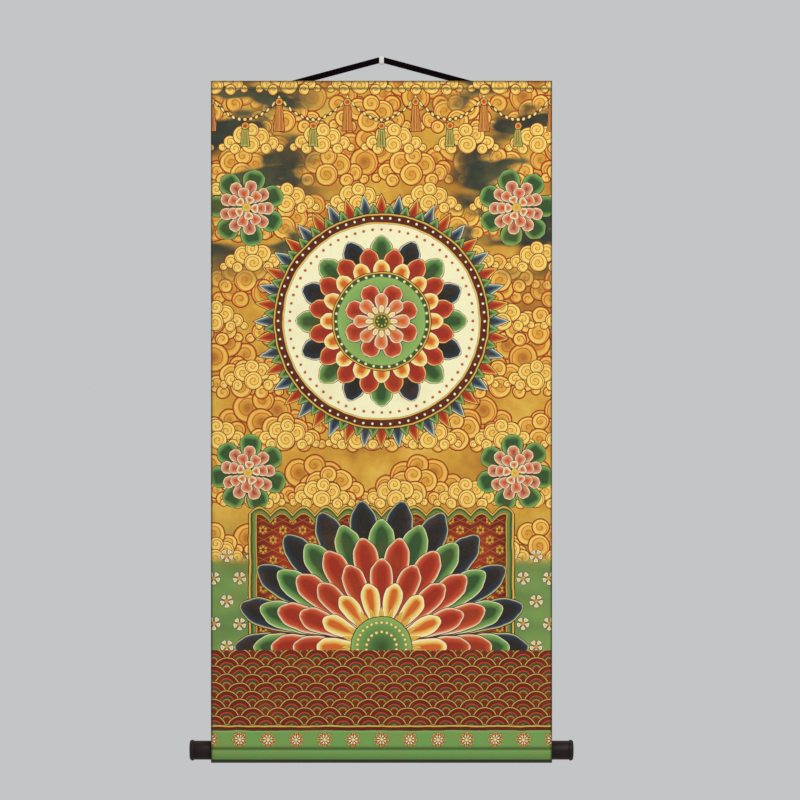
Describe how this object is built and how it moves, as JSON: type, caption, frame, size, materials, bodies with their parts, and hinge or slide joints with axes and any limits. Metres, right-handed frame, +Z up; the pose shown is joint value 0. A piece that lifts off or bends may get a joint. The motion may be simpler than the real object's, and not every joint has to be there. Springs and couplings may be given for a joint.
{
  "type": "thangka scroll painting on a wall hook",
  "caption": "Tall printed cloth scroll hung by a ribbon from a small wall hook, with a lath in its top sleeve and its foot wound round a roller with turned end knobs.",
  "frame": {"origin": "centre of the hook's back face, on the wall plane", "axes": "+Z up, +Y into the wall, +X to the right as seen from the front; the printed face looks along -Y"},
  "size_m": [0.5074, 0.0358, 0.9323],
  "materials": {
    "printed_cloth": "matt printed canvas with a fine plain weave",
    "bare_wood": "sanded, unvarnished",
    "dark_knob": "satin, near black brown",
    "black_braid": "dull flat braid",
    "white_hook": "off-white enamel"
  },
  "bodies": {
    "root": {"picture_cloth": "printed_cloth", "top_batten": "bare_wood", "bottom_roller": "bare_wood", "roller_knob_left": "dark_knob", "roller_knob_right": "dark_knob", "hanging_ribbon": "black_braid", "wall_hook": "white_hook"}
  },
  "joints": []
}
